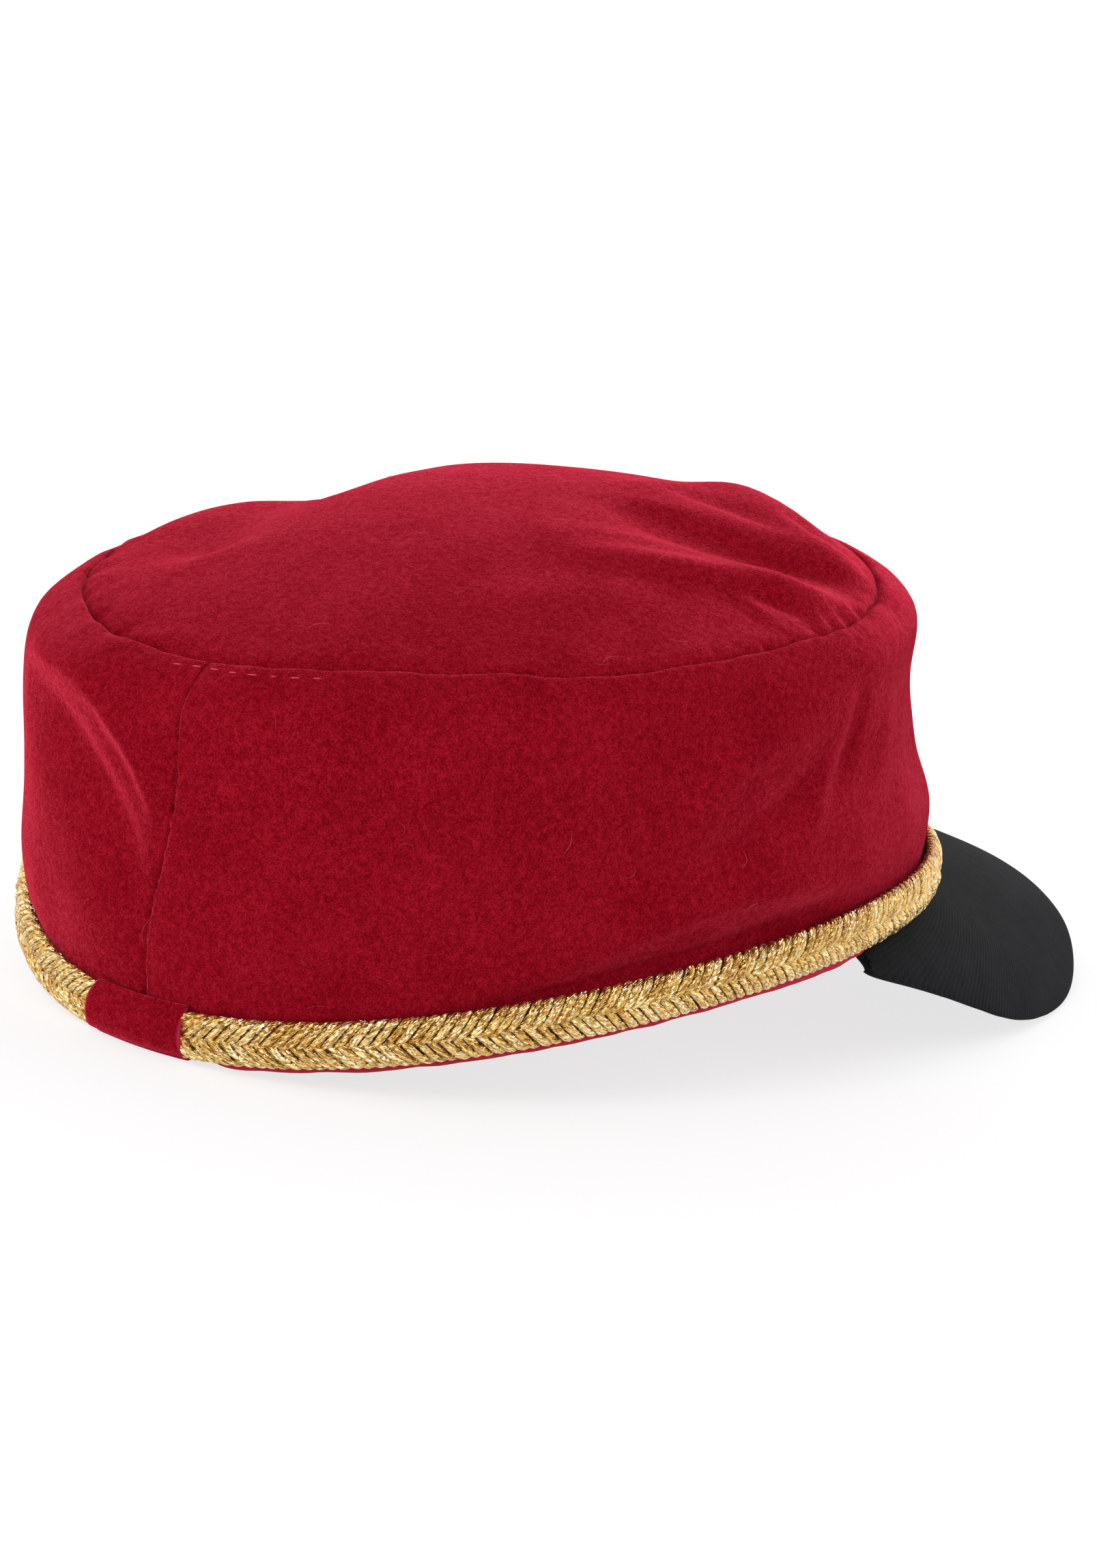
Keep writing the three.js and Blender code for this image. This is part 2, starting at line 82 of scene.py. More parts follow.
def add_camera():
    back = way_to(*CAMERA_ANGLES)
    camera = add_object("camera", bpy.data.cameras.new("camera"))
    camera.data.lens = CAMERA_LENS
    turned = back.to_track_quat("Z", "Y").to_matrix().to_4x4() @ Matrix.Rotation(CAMERA_ROLL, 4, "Z")
    camera.matrix_world = Matrix.Translation(CAMERA_TARGET + back * CAMERA_DISTANCE) @ turned
    bpy.context.scene.camera = camera
    return camera


camera = add_camera()
print("camera at", [round(value, 3) for value in camera.location])

# %% [markdown]
# ## Joining nodes
# The sky, the materials and the patterns of repeated pieces are trees of nodes. They are easier to read
# when one line adds a node and says what goes into it.

# %% Helper for node trees
class Wiring:
    """Adds nodes to a tree and joins their sockets."""

    def __init__(self, tree):
        self.tree = tree

    def node(self, kind, joined=None, settings=None):
        made = self.tree.nodes.new(kind)
        for name, value in (settings or {}).items():
            setattr(made, name, value)
        for socket, value in (joined or {}).items():
            self.join(value, made.inputs[socket])
        return made

    def join(self, value, socket):
        if isinstance(value, bpy.types.Node):
            value = value.outputs[0]
        if isinstance(value, bpy.types.NodeSocket):
            self.tree.links.new(value, socket)
        else:
            socket.default_value = value

    def switched(self, kind, names, values, settings):
        """A node whose settings choose its sockets: those in use take the values, by name."""
        made = self.node(kind, settings=settings)
        for socket, value in zip([s for s in made.inputs if s.enabled and s.name in names], values):
            self.join(value, socket)
        return next(s for s in made.outputs if s.enabled)

    def math(self, operation, *values):
        return self.node("ShaderNodeMath", dict(enumerate(values)), {"operation": operation}).outputs[0]

    def times(self, a, b):
        return self.math("MULTIPLY", a, b)

    def plus(self, a, b):
        return self.math("ADD", a, b)

    def vector(self, operation, *values, **named):
        joined = {**dict(enumerate(values)), **named}
        return self.node("ShaderNodeVectorMath", joined, {"operation": operation}).outputs[0]

    def blend(self, a, share_a, b, share_b):
        """The sum of a share of each of two values."""
        return self.plus(self.times(a, share_a), self.times(b, share_b))


# %% [markdown]
# ## Materials
# Cloth and metal thread are all fine detail, which could be painted on images. Here small patterns of
# noise on the object's own coordinates make it, sharp at any distance and without a UV map.

# %% Helpers for materials
class Paint(Wiring):
    """A material's node tree with its main shader."""

    def __init__(self, name, settings):
        self.material = bpy.data.materials.new(name)
        self.material.use_nodes = True
        super().__init__(self.material.node_tree)
        self.shader = self.tree.nodes["Principled BSDF"]
        self.place = self.tree.nodes.new("ShaderNodeTexCoord").outputs["Object"]
        for socket, value in settings.items():
            self.shader.inputs[socket].default_value = value

    def pattern(self, size, detail=2.0, rough=0.5):
        """Noise with features of about this size in metres."""
        joined = {"Vector": self.place, "Scale": 1 / size, "Detail": detail, "Roughness": rough}
        return self.node("ShaderNodeTexNoise", joined).outputs["Fac"]

    def stored(self, name):
        return self.node("ShaderNodeAttribute", settings={"attribute_name": name}).outputs["Fac"]

    def ramp(self, value, *stops):
        """Colours or greys at places from 0 to 1."""
        made = self.node("ShaderNodeValToRGB", {"Fac": value})
        ramp = made.color_ramp
        while len(ramp.elements) < len(stops):
            ramp.elements.new(0.5)
        for element, (position, colour) in zip(ramp.elements, stops):
            element.position = position
            element.color = (*colour, 1) if isinstance(colour, tuple) else (colour, colour, colour, 1)
        return made.outputs["Color"]

    def mix(self, share, a, b, blend="MIX"):
        values = [(*v, 1) if isinstance(v, tuple) else v for v in (share, a, b)]
        settings = {"data_type": "RGBA", "blend_type": blend}
        return self.switched("ShaderNodeMix", ("Factor", "A", "B"), values, settings)

    def bump(self, height, distance, strength=1.0, **under):
        joined = {"Height": height, "Distance": distance, "Strength": strength, **under}
        return self.node("ShaderNodeBump", joined).outputs["Normal"]

    def finish(self, colour, **others):
        for socket, value in {"Base Color": colour, **others}.items():
            self.join(value, self.shader.inputs[socket])
        return self.material


def cover(piece, material):
    piece.data.materials.clear()
    piece.data.materials.append(material)


# %% [markdown]
# ## Floor and light
# A pale floor under a white sky gives the soft light of a studio tent. The sky is brightest low down in
# front of the cap and dim overhead, which lights the nap along the crown's outline and gives metal thread
# something dark to reflect. One broad sun draws the folds of the felt, and a weaker one keeps the other
# side open.

# %% Floor, lamps and sky
FLOOR_HALF = 8.0
SKY_LOW, SKY_HIGH = 1.75, 0.2
BACKDROP_AZIMUTH, BACKDROP_GAIN = 35, 0.85  # a white backdrop stands there, and a dark room opposite
FLOOR_GREY, FLOOR_GLOW = 0.25, 0.75  # the floor is a lit table, so shadows on it stay soft


def add_floor():
    corners = [Vector((x, y, 0)) * FLOOR_HALF for x, y in ((-1, -1), (1, -1), (1, 1), (-1, 1))]
    mesh = new_mesh("floor", corners, [(0, 1, 2, 3)])
    paint = Paint("floor_paint", {
        "Base Color": (FLOOR_GREY, FLOOR_GREY, FLOOR_GREY, 1), "Emission Color": (1, 1, 1, 1),
        "Emission Strength": FLOOR_GLOW, "Roughness": 0.9, "Specular IOR Level": 0.1,
    })
    mesh.materials.append(paint.material)
    add_object("floor", mesh)


def add_sun(name, azimuth, elevation, strength, spread):
    light = bpy.data.lights.new(name, "SUN")
    light.energy = strength
    light.angle = math.radians(spread)
    turned = way_to(azimuth, elevation).to_track_quat("Z", "Y")
    add_object(name, light).rotation_euler = turned.to_euler()


def add_sky():
    world = bpy.data.worlds.new("sky")
    world.use_nodes = True
    w = Wiring(world.node_tree)
    way = w.node("ShaderNodeTexCoord").outputs["Generated"]
    parts = w.node("ShaderNodeSeparateXYZ", {"Vector": way}).outputs
    rise = w.math("MAXIMUM", parts["Z"], 0.0)
    strength = w.plus(SKY_LOW, w.times(rise, SKY_HIGH - SKY_LOW))
    a = math.radians(BACKDROP_AZIMUTH)
    for part, share in (("X", math.sin(a)), ("Y", -math.cos(a))):
        strength = w.plus(strength, w.times(parts[part], share * BACKDROP_GAIN))
    background = world.node_tree.nodes["Background"]
    background.inputs["Color"].default_value = (1, 1, 1, 1)
    w.join(strength, background.inputs["Strength"])
    bpy.context.scene.world = world


add_floor()
add_sky()
add_sun("key", azimuth=190, elevation=36, strength=1.8, spread=30)
add_sun("side", azimuth=300, elevation=40, strength=0.4, spread=50)
bpy.context.scene.view_settings.view_transform = "Standard"
print("lamps:", [lamp.name for lamp in bpy.data.lights])

# %% [markdown]
# ## The cap's own frame
# The solids were drawn with the hem level and then tipped back until the cap rested on the table. What
# goes round the cap is easiest in that level frame, in millimetres, with a turn in degrees from the front
# towards the wearer's left.

# %% Level frame
HALF_LENGTH, HALF_WIDTH = 100, 81.5  # of the hem's oval
HEM_ARCH, HEM_TWIST = 10, 1.4
CAP_TILT = math.radians(8.815)
HEM_MIDDLE = (0, 27.78, 15.03)  # on the table
LEVEL = Matrix.Translation(HEM_MIDDLE) @ Matrix.Rotation(-CAP_TILT, 4, "X")
LEVEL_TO_FRAME = Matrix.Scale(MM, 4) @ LEVEL


def hem_height(turn):
    twice = 2 * np.radians(turn)
    return HEM_ARCH * (1 - np.cos(twice)) / 2 + HEM_TWIST * np.sin(twice)


def on_oval(turn, out, z):
    angle = np.radians(turn)
    return np.stack(
        [(HALF_WIDTH + out) * np.sin(angle), -(HALF_LENGTH + out) * np.cos(angle), z + 0 * angle], -1
    )


def turn_of(points):
    return np.degrees(np.arctan2(points[:, 0] / HALF_WIDTH, -points[:, 1] / HALF_LENGTH)) % 360


def move(points, matrix):
    m = np.array(matrix)
    return points @ m[:3, :3].T + m[:3, 3]


def smoothstep(value, start, end):
    t = np.clip((value - start) / (end - start), 0, 1)
    return t * t * (3 - 2 * t)


def bell(distance, width):
    return np.exp(-((distance / width) ** 2))


def oval_size(points):
    """Distance from the cap's upright axis, where 1 is the hem's oval."""
    return np.hypot(points[:, 0] / HALF_WIDTH, points[:, 1] / HALF_LENGTH)


print("hem at the back, mm:", np.round(move(on_oval(180, 0, 0)[None], LEVEL)[0], 1))

# %% [markdown]
# ## Soft meshes from the solids
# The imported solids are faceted, and cloth is smooth. So each one is copied, its triangles are welded and
# paired into quads, and subdivision rounds them off. The result is kept as a plain mesh, into which code
# can press folds point by point.

# %% Helpers for soft meshes
SQUARE_EDGE = math.radians(60)


def plain(piece):
    """Keeps what the modifiers make as the piece's own mesh."""
    graph = bpy.context.evaluated_depsgraph_get()
    made = bpy.data.meshes.new_from_object(
        piece.evaluated_get(graph), preserve_all_data_layers=True, depsgraph=graph
    )
    piece.modifiers.clear()
    piece.data = made
    return piece


def welded(node):
    work = bmesh.new()
    work.from_mesh(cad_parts[node].data)
    bmesh.ops.remove_doubles(work, verts=work.verts, dist=0.002 * MM)
    return work


def soft_copy(node, name, levels=2, hold=0.0, below=1.0):
    """A solid as a smooth mesh of quads. Its square edges, below a height, stay sharp by the share hold."""
    work = welded(node)
    limits = {"angle_face_threshold": math.radians(70), "angle_shape_threshold": math.radians(80)}
    bmesh.ops.join_triangles(work, faces=work.faces, **limits)
    work.verts.index_update()
    faces = [[v.index for v in face.verts] for face in work.faces]
    mesh = new_mesh(name, [v.co for v in work.verts], faces)
    work.clear()
    work.from_mesh(mesh)
    sharpness = work.edges.layers.float.new("crease_edge")
    for edge in work.edges:
        square = edge.calc_face_angle(0) > SQUARE_EDGE
        edge[sharpness] = hold if square and edge.verts[0].co.z < below else 0
    work.to_mesh(mesh)
    work.free()
    piece = add_object(name, mesh)
    subdivide = piece.modifiers.new("subdivide", "SUBSURF")
    subdivide.levels = subdivide.render_levels = levels
    plain(piece)
    piece.data.shade_smooth()
    return piece


def vectors(items, name):
    """One vector of each point or face, as rows."""
    values = np.zeros(len(items) * 3)
    items.foreach_get(name, values)
    return values.reshape(-1, 3)


def level_points(piece):
    """The piece's points in the level frame, in millimetres."""
    return move(vectors(piece.data.vertices, "co"), LEVEL_TO_FRAME.inverted())


def set_level_points(piece, points):
    piece.data.vertices.foreach_set("co", move(points, LEVEL_TO_FRAME).ravel())
    piece.data.update()


def describe(piece):
    print(piece.name, "has", len(piece.data.polygons), "faces")
    return piece


# %% [markdown]
# ## Folds in thick felt
# Squashed felt keeps folds: a crest that is round on one side and steep on the other, often with a hollow
# under it. Cloth simulation could make them, but they would fall anywhere. Here each fold is a line of
# places with a height at each and a width to either side. The faces round it are divided further, or its
# crest would come out jagged.

# %% Helpers for folds
def rounded(line):
    """The same line with its corners cut twice."""
    for _ in range(2):
        cut = np.stack([0.75 * line[:-1] + 0.25 * line[1:], 0.25 * line[:-1] + 0.75 * line[1:]], 1)
        line = np.concatenate([line[:1], cut.reshape(-1, line.shape[1]), line[-1:]])
    return line


def fold_rise(places, line, left_width, right_width):
    """How far a fold lifts the cloth: its line's height, falling off to both sides."""
    nearest = np.full(len(places), np.inf)
    rise = np.zeros(len(places))
    line = rounded(np.array(line, float))
    for start, end in zip(line, line[1:]):
        along, away = end[:2] - start[:2], places - start[:2]
        share = np.clip(away @ along / max(along @ along, 1e-9), 0, 1)
        distance = np.linalg.norm(away - share[:, None] * along, axis=1)
        left = along[0] * away[:, 1] - along[1] * away[:, 0] > 0
        width = np.where(left, left_width, right_width)
        height = (start[2] + share * (end[2] - start[2])) * bell(distance, width)
        rise = np.where(distance < nearest, height, rise)
        nearest = np.minimum(nearest, distance)
    return rise


def divide(piece, wanted, cuts):
    """Cuts each side of the wanted faces of a piece."""
    work = bmesh.new()
    work.from_mesh(piece.data)
    faces = [face for face, keep in zip(work.faces, wanted) if keep]
    edges = list({edge for face in faces for edge in face.edges})
    bmesh.ops.subdivide_edges(work, edges=edges, cuts=cuts, use_grid_fill=True)
    work.to_mesh(piece.data)
    work.free()
    piece.data.shade_smooth()


CROWN_MIDDLE = np.array((0, 0, 40))


def outwards(points):
    away = points - CROWN_MIDDLE
    return away / np.linalg.norm(away, axis=1)[:, None]


def facing(items, places):
    """How squarely points or faces at these places face away from the crown's middle."""
    normals = move(vectors(items, "normal"), LEVEL.to_3x3().to_4x4().inverted())
    return (normals * outwards(places)).sum(1)


def face_places(piece):
    """Middle of each face in the level frame, and how squarely it faces outwards."""
    faces = piece.data.polygons
    middles = move(vectors(faces, "center"), LEVEL_TO_FRAME.inverted())
    return middles, facing(faces, middles)


# %% [markdown]
# ## The felt crown
# The wall is one strip of felt closed by a seam at the back, and the top is an oval sewn into it. The
# wall's folds are given on the wall laid out flat, by turn and height, and the top's on its plan. Between
# them the felt waves a little.

# %% Folds of the wall and the top
WAVES = (  # length and height of the felt's own unevenness, in millimetres
    (34, 0.5),
    (12, 0.16),
)
WALL_FOLDS = (  # turn, height and rise along each line, then its width above and below
    (((143, 65.5, 0), (150, 67.5, 1.6), (156, 68.5, 2.2), (162, 67.5, 1.6), (168, 64, 0)), 7, 4),
    (((156, 69, 0), (162, 68.5, 1.4), (166, 66.5, 2.0), (169, 64, 2.4), (172, 61.5, 2.6), (175, 58.5, 2.6),
      (177, 55.5, 2.4), (179, 51, 1.6), (180.5, 45, 0.6), (180.5, 36, 0.3), (179.5, 20, 0)), 6.5, 3),
    (((144, 59, 0), (152, 60, -1.8), (160, 56.5, -2.6), (166, 51.5, -2.8), (171, 46, -2.6), (175, 39, -2.0),
      (176, 28, -1.0), (175, 18, 0)), 5, 9),
    (((214, 15, 0), (222, 19, 0.6), (230, 23, 1.4), (238, 27, 2.2), (246, 31, 3.0), (254, 33, 3.5),
      (262, 32, 3.2), (269, 29.5, 2.3), (276, 27, 1.1), (284, 25, 0)), 14, 3.8),
    (((218, 14, 0), (230, 16, -1.2), (242, 19, -2.2), (254, 21, -2.6), (264, 22, -2.2), (274, 22, 0)),
     4, 6),
    (((246, 42, 0), (250, 50, 1.4), (252.5, 55.5, 2.0), (256, 59, 2.2), (261, 60.5, 2.2), (268, 60.5, 1.2),
      (277, 66.5, 0)), 5, 4.5),
    (((247, 36, 0), (252, 41, -1.4), (259, 44.5, -2.0), (266, 48.5, -1.6), (272, 54, 0)), 4, 5),
    (((264, 37, 0), (268.5, 43, 1.6), (274, 52, 0)), 3.5, 3.5),
    (((232, 70, 0), (242, 69, -1.2), (256, 67, -1.6), (270, 68, -1.2), (280, 66, 0)), 6, 6),
    (((281, 67, 0), (278.5, 60, -1.4), (277, 52.5, -1.8), (272.5, 46, -1.0), (268, 41, 0)), 3.5, 3.5),
    (((292, 56, 0), (286, 47, 1.4), (279, 40, 0)), 5, 5),
    (((126, 17, 0), (134, 19, 1.4), (142, 19, 1.6), (150, 18, 1.0), (158, 17, 0)), 10, 10),
    (((60, 44, 0), (72, 40, -1.2), (88, 42, -1.0), (104, 46, 0)), 7, 5),
    (((300, 52, 0), (318, 48, -0.8), (336, 50, -0.6), (352, 54, 0)), 7, 6),
)
WALL_FINE = (  # parts of the wall's outside with crisp folds: turns and heights
    (144, 190, 14, 74),
    (216, 291, 14, 75),
)
TOP_FOLDS = (  # x, y and rise along each line, then its width to the left and to the right
    (((-14, -22, 0), (-21, -23.5, 0.9), (-27, -25, 1.6), (-34, -27.5, 2.1), (-41, -29.5, 2.4),
      (-47.5, -32.5, 2.5), (-52.5, -38.5, 2.0), (-54, -45, 1.1), (-54, -51, 0)), 7, 4),
    (((-10, -36, 0), (-20, -37.5, -1.6), (-36, -40, -2.0), (-46, -42, 0)), 5, 4.5),
    (((-18, -8, 0), (-28, -10, -1.6), (-38, -16, -2.2), (-48, -23, -1.4), (-55, -29, 0)), 5, 9),
    (((-28, 13, 0), (-36, 9, 0.9), (-43.5, 4, 1.8), (-48.5, -1.5, 2.2), (-53.5, -8.5, 2.4),
      (-57.5, -14, 2.4), (-61, -19, 1.9), (-62, -29, 0.9), (-60, -36, 0)), 5, 6),
    (((-22, 16, 0), (-30, 10, -1.8), (-40, 0, -2.2), (-48, -8, -1.2), (-54, -14, 0)), 6, 5),
    (((-54, 0, 0), (-58, -1, 0.8), (-63, -1, 1.0), (-68, -1.5, 0)), 2.2, 3),
    (((-56, -4, 0), (-60, -6.5, -1.2), (-64, -8.5, -1.5), (-69, -11, 0)), 2.5, 2.5),
    (((-30, -50, 0), (-40, -50, -1.8), (-50, -52, 0)), 4, 4),
    (((30, 62, 0), (28, 48, 1.2), (30, 32, 1.5), (44, 8, 1.0), (54, -8, 0)), 5, 8),
    (((-30, 46, 0), (-42, 29, 1.0), (-52, 14, 0)), 6, 6),
)
TOP_FINE = (-76, -6, -70, 20)  # the part of the top with crisp folds: x and y


def noise_at(points, length, shift=(0, 0, 0)):
    """Smooth random numbers, with features of this length."""
    return np.array([noise.noise(Vector(p) / length + Vector(shift)) for p in points])


def wave(points, seed):
    """Smooth unevenness at each point, the same for both faces of the cloth."""
    rows = enumerate(WAVES)
    return sum(height * noise_at(points, length, (seed + 17 * i, 5 * i, 3)) for i, (length, height) in rows)


def unrolled(turn, height):
    """The wall laid out flat: distance round the cap, and height."""
    return np.stack([np.radians(turn) * (HALF_LENGTH + HALF_WIDTH) / 2, height], -1)


def hem_edge(points):
    """1 at the cut edge of the hem, falling to 0 just above it."""
    return 1 - smoothstep(points[:, 2] - hem_height(turn_of(points)), 0.7, 1.5)


def store(mesh, name, values, domain="POINT"):
    mesh.attributes.new(name, "FLOAT", domain).data.foreach_set("value", values)


def top_edge():
    """A tree of the top's corner points, to find how far away the seam is."""
    work = welded("crown_top")
    corners = {v for edge in work.edges if edge.calc_face_angle(0) > SQUARE_EDGE for v in edge.verts}
    places = move(np.array([v.co for v in corners]), LEVEL_TO_FRAME.inverted())
    work.free()
    tree = kdtree.KDTree(len(places))
    for i, place in enumerate(places):
        tree.insert(place, i)
    tree.balance()
    return tree


def seam_pull(points):
    """How the thread draws the felt in along the seam, and how the seam wanders."""
    distance = np.array([seam.find(p)[2] for p in points])
    valley = VALLEY_DEPTH * (1 + 1.3 * noise_at(points, 5)) * bell(distance, VALLEY_WIDTH)
    pull = -outwards(points) * valley[:, None]
    pull[:, 2] += SEAM_WANDER * noise_at(points, 8, (40, 0, 0)) * bell(distance, 2 * VALLEY_WIDTH)
    return pull


VALLEY_DEPTH, VALLEY_WIDTH, SEAM_WANDER = 0.9, 2.2, 1.6
seam = top_edge()

# %% [markdown]
# ## The back seam
# The seam leans over as it rises and bows where the felt is creased. The solid has a groove and a slit
# there, and the real cap only a fine crease. So the two ends are drawn together, and the groove is filled
# from bank to bank, up to the top seam.

# %% Back seam
SEAM_FOOT, SEAM_LEAN, SEAM_LEAN_HEIGHT = 178, 4, 80  # degrees, degrees and millimetres
BEND, BEND_HEIGHT, BEND_BELOW, BEND_ABOVE, BEND_REACH = 3.1, 50, 18, 13, 9
BRIDGE, BANK, HALF_SLIT = 1.3, 0.2, 0.17  # degrees: width to either side, of its banks and of the slit
CREASE_DEPTH, CREASE_WIDTH, GROOVE_DEPTH = 0.8, 0.5, 1.3
CLOSED_FROM, BRIDGED_FROM = 12, 3  # heights
BRIDGED_TO = 69, 72  # heights between which the bridge ends


def seam_turn(height):
    return SEAM_FOOT + SEAM_LEAN * np.clip(height / SEAM_LEAN_HEIGHT, 0, 1) ** 2


def seam_bend(height):
    """How far the felt has slid round at the back seam, in degrees."""
    return BEND * bell(height - BEND_HEIGHT, np.where(height < BEND_HEIGHT, BEND_BELOW, BEND_ABOVE))


def bend_back_seam(points):
    """Slides the felt round the oval, so that the back seam bows."""
    turn, height = turn_of(points), points[:, 2]
    slide = seam_bend(height) * bell(turn - seam_turn(height), BEND_REACH)
    points[:, :2] = on_oval(turn + slide, 0, height)[:, :2] * oval_size(points)[:, None]


def press_back_seam(wall):
    """Draws the wall's ends together and bridges the groove between them, all but a crease."""
    points = level_points(wall)
    height, size = points[:, 2], oval_size(points)
    middle = seam_turn(height) + seam_bend(height)
    away = turn_of(points) - middle
    beside = np.abs(away) < BRIDGE
    drawn = np.clip(np.abs(away) - HALF_SLIT * (1 - np.abs(away) / BRIDGE), 0, None) * np.sign(away)
    together = on_oval(middle + drawn, 0, height)[:, :2] * size[:, None]
    closing = beside & (height > CLOSED_FROM)
    points[closing, :2] = together[closing]
    outer = facing(wall.data.vertices, points) > 0.6
    near = np.flatnonzero(beside & (height > BRIDGED_FROM))
    sides = []
    for side in (-1, 1):
        bank = np.flatnonzero(outer & (np.abs(away - side * BRIDGE) < BANK))
        order = bank[np.argsort(height[bank])]
        sides.append(np.interp(height[near], height[order], size[order]))
    share = (away[near] / BRIDGE + 1) / 2
    bridged = sides[0] * (1 - share) + sides[1] * share
    groove = size[near] > bridged - GROOVE_DEPTH / HALF_LENGTH
    near, bridged = near[groove], bridged[groove]
    keep = smoothstep(height[near], *BRIDGED_TO)
    stitched = np.array([noise.noise(Vector((0, 0, z / 2.2))) for z in height[near]])
    crease = CREASE_DEPTH * (1 + 1.2 * stitched) * bell(away[near], CREASE_WIDTH) / HALF_LENGTH
    points[near, :2] *= (keep + (1 - keep) * (bridged - crease) / size[near])[:, None]
    set_level_points(wall, points)


# %% [markdown]
# ## Sewing the crown
# First the faces where folds are crisp are divided. Then every point is moved: by the folds and waves,
# into the top seam, and at the hem, whose cut edge isn't quite even, down.

# %% Crown wall and top
SEAM_CLOSE = 1.011  # widens the top until its edge meets the wall's


def make_wall():
    wall = soft_copy("crown_wall", "felt_wall", hold=0.5, below=30 * MM)
    middles, outer = face_places(wall)
    turn = turn_of(middles)
    fine = np.zeros(len(turn), bool)
    for first, last, low, high in WALL_FINE:
        fine |= (turn > first) & (turn < last) & (middles[:, 2] > low) & (middles[:, 2] < high)
    divide(wall, fine & (outer > 0.2), 2)
    points = level_points(wall)
    bend_back_seam(points)
    turn, height = turn_of(points), points[:, 2]
    lift = wave(points, 3)
    for line, above, below in WALL_FOLDS:
        flat = np.array(line, float)
        flat[:, :2] = unrolled(flat[:, 0], flat[:, 1])
        lift += fold_rise(unrolled(turn, height), flat, above, below)
    free = smoothstep(height - hem_height(turn), 8, 12.5)
    longer = 0.4 + 0.9 * bell(turn - 272, 11) - 0.4 * smoothstep(turn, 284, 292)
    longer = longer * smoothstep(turn, 186, 190) + 0.3 * noise_at(points, 5)
    low = hem_edge(points)
    points += outwards(points) * (lift * free)[:, None] + seam_pull(points)
    points[:, 2] -= longer * low
    set_level_points(wall, points)
    press_back_seam(wall)
    store(wall.data, "cut", hem_edge(points))
    return marked(wall)


def marked(piece):
    """Stores on each face how squarely it faces outwards."""
    store(piece.data, "outer", face_places(piece)[1], "FACE")
    return describe(piece)


def make_top():
    top = soft_copy("crown_top", "felt_top")
    middles, outer = face_places(top)
    x, y, _ = middles.T
    left, right, front, back = TOP_FINE
    divide(top, (x > left) & (x < right) & (y > front) & (y < back) & (outer > 0.2), 2)
    points = level_points(top)
    lift = wave(points, 3)
    for line, to_left, to_right in TOP_FOLDS:
        lift += fold_rise(points[:, :2], line, to_left, to_right)
    points += outwards(points) * lift[:, None] + seam_pull(points)
    points[:, :2] *= SEAM_CLOSE
    set_level_points(top, points)
    return marked(top)


felt_wall = make_wall()
felt_top = make_top()

# %% [markdown]
# ## The tab and the visor
# The tab is a strap of the same felt, and the visor a stiff board covered in black cloth. Both keep their
# solids' shape. The cloth's fine ribs run with the braid, so each point of the visor stores how far it
# lies from the hem, for the material to read.

# %% Tab and visor
TAB_TURN, TAB_WIDTH = 177.9, 24
TAB_SLID = 1.55  # towards the wearer's left, from where it was sewn
TAB_ROUNDING = 1.6  # how far it hugs the round edges of the braid
BRAID_HEIGHT, BRAID_DEPTH, BRAID_LIFT = 9.8, 3.6, 1.1


def make_tab():
    tab = soft_copy("back_tab", "felt_tab", hold=0.8)
    points = level_points(tab)
    points[:, 0] += TAB_SLID
    middle = HALF_WIDTH * math.sin(math.radians(TAB_TURN))
    across = np.abs(points[:, 0] - middle)
    store(tab.data, "cut", smoothstep(across, TAB_WIDTH / 2 - 0.5, TAB_WIDTH / 2 - 0.05))
    turn = turn_of(points)
    rise = (points[:, 2] - hem_height(turn) - BRAID_LIFT) / BRAID_HEIGHT * 2 - 1
    out = -points[:, 1] - HALF_LENGTH * np.cos(np.radians(turn))
    rounding = TAB_ROUNDING * np.clip(np.abs(rise), 0, 1.2) ** 3 * smoothstep(np.abs(out), 1.0, 3.5)
    points[:, 1] -= rounding * np.sign(points[:, 1])
    points += outwards(points) * (0.2 * wave(points, 9) / WAVES[0][1])[:, None]
    set_level_points(tab, points)
    return describe(tab)


def make_visor():
    visor = soft_copy("visor", "visor_cloth")
    store(visor.data, "from_hem", past_oval(level_points(visor)))
    return describe(visor)


def past_oval(points):
    """How far each point lies outside the hem's oval."""
    return np.hypot(points[:, 0], points[:, 1]) - np.hypot(*on_oval(turn_of(points), 0, 0)[:, :2].T)


felt_tab = make_tab()
visor_cloth = make_visor()

# %% [markdown]
# ## The braid's path
# The braid is a herringbone of metal gimp: two rows of short round strands that meet along its middle and
# curl over its edges. One strand is laid again and again along a path, which is work for Geometry Nodes.
# The path's points store which way is out and how far the strands lean.

# %% Braid path
LEAN_AT_TAB, LEAN_AWAY = 1.15, 0.85  # millimetres along the braid for each one along the strand
PATH_POINTS = 360


def braid_middle(turn):
    return hem_height(turn) + BRAID_LIFT + BRAID_HEIGHT / 2


def path_mesh(name, points, out, edges):
    """A line of points that stores which way is out at each."""
    pairs = [(i, (i + 1) % len(points)) for i in range(edges)]
    mesh = new_mesh(name, [Vector(p) for p in points], [], pairs)
    mesh.attributes.new("out", "FLOAT_VECTOR", "POINT").data.foreach_set("vector", np.ravel(out))
    return mesh


def make_path():
    turns = np.linspace(0, 360, PATH_POINTS, endpoint=False)
    points = move(on_oval(turns, 0.3, braid_middle(turns)), LEVEL_TO_FRAME)
    ahead = np.roll(points, -1, 0) - np.roll(points, 1, 0)
    up = np.array(LEVEL.to_3x3().col[2])
    out = np.cross(ahead, up)
    out /= np.linalg.norm(out, axis=1)[:, None]
    away = np.abs(turns - TAB_TURN)
    lean = LEAN_AT_TAB + (LEAN_AWAY - LEAN_AT_TAB) * smoothstep(away, 12, 62)
    mesh = path_mesh("braid_path", points, out, PATH_POINTS)
    store(mesh, "lean", lean)
    length = np.linalg.norm(np.roll(points, -1, 0) - points, axis=1).sum()
    return mesh, length


